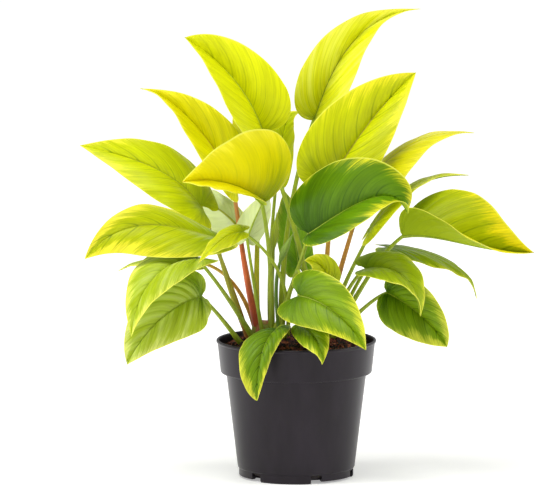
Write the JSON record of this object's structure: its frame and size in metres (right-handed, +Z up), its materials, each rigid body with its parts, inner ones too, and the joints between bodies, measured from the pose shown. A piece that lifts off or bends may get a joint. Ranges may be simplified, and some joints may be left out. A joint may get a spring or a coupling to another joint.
{
  "type": "potted homalomena plant",
  "caption": "Potted homalomena: glossy heart-shaped lime and green leaves on long stalks in a plain dark nursery pot of bark compost.",
  "frame": {"origin": "centre of the pot's underside, on the surface it stands on", "axes": "+Z up along the pot's axis, -Y towards the viewer of the plant's front, +X to that viewer's right"},
  "size_m": [0.3971, 0.2035, 0.4056],
  "materials": {
    "leaf_blade": "waxy leaf, lime to deep green with yellow margins",
    "leaf_stalk": "smooth fleshy stalk, green to orange-red",
    "young_leaf": "rolled young leaf, pale yellow-green",
    "crown": "fibrous brown-green stem base",
    "bark_compost": "loose red-brown bark chips and fibre",
    "pot_plastic": "satin moulded dark grey polypropylene"
  },
  "bodies": {
    "root": {"blade_top_right": "leaf_blade", "stalk_top_right": "leaf_stalk", "blade_upper_right": "leaf_blade", "stalk_upper_right": "leaf_stalk", "blade_top_left": "leaf_blade", "stalk_top_left": "leaf_stalk", "blade_upper_left": "leaf_blade", "stalk_upper_left": "leaf_stalk", "blade_mid_left_high": "leaf_blade", "stalk_mid_left_high": "leaf_stalk", "blade_mid_left": "leaf_blade", "stalk_mid_left": "leaf_stalk", "blade_front_left": "leaf_blade", "stalk_front_left": "leaf_stalk", "blade_curled_top": "leaf_blade", "stalk_curled_top": "leaf_stalk", "blade_front_centre": "leaf_blade", "stalk_front_centre": "leaf_stalk", "blade_mid_right_high": "leaf_blade", "stalk_mid_right_high": "leaf_stalk", "blade_mid_right_thin": "leaf_blade", "stalk_mid_right_thin": "leaf_stalk", "blade_mid_right": "leaf_blade", "stalk_mid_right": "leaf_stalk", "blade_low_right_twisted": "leaf_blade", "stalk_low_right_twisted": "leaf_stalk", "blade_heart_front": "leaf_blade", "stalk_heart_front": "leaf_stalk", "blade_low_right": "leaf_blade", "stalk_low_right": "leaf_stalk", "blade_low_right_front": "leaf_blade", "stalk_low_right_front": "leaf_stalk", "blade_pot_front_left": "leaf_blade", "stalk_pot_front_left": "leaf_stalk", "blade_pot_front_right": "leaf_blade", "stalk_pot_front_right": "leaf_stalk", "blade_low_left": "leaf_blade", "stalk_low_left": "leaf_stalk", "blade_lowest_left": "leaf_blade", "stalk_lowest_left": "leaf_stalk", "blade_behind_left": "leaf_blade", "stalk_behind_left": "leaf_stalk", "blade_small_left": "leaf_blade", "stalk_small_left": "leaf_stalk", "blade_small_centre": "leaf_blade", "stalk_small_centre": "leaf_stalk", "blade_back_left": "leaf_blade", "stalk_back_left": "leaf_stalk", "blade_back_centre": "leaf_blade", "stalk_back_centre": "leaf_stalk", "blade_back_right": "leaf_blade", "stalk_back_right": "leaf_stalk", "blade_back_high": "leaf_blade", "stalk_back_high": "leaf_stalk", "young_spear_pale": "young_leaf", "young_spear_yellow": "young_leaf", "crown_left": "crown", "crown_right": "crown", "compost": "bark_compost", "pot": "pot_plastic"}
  },
  "joints": []
}
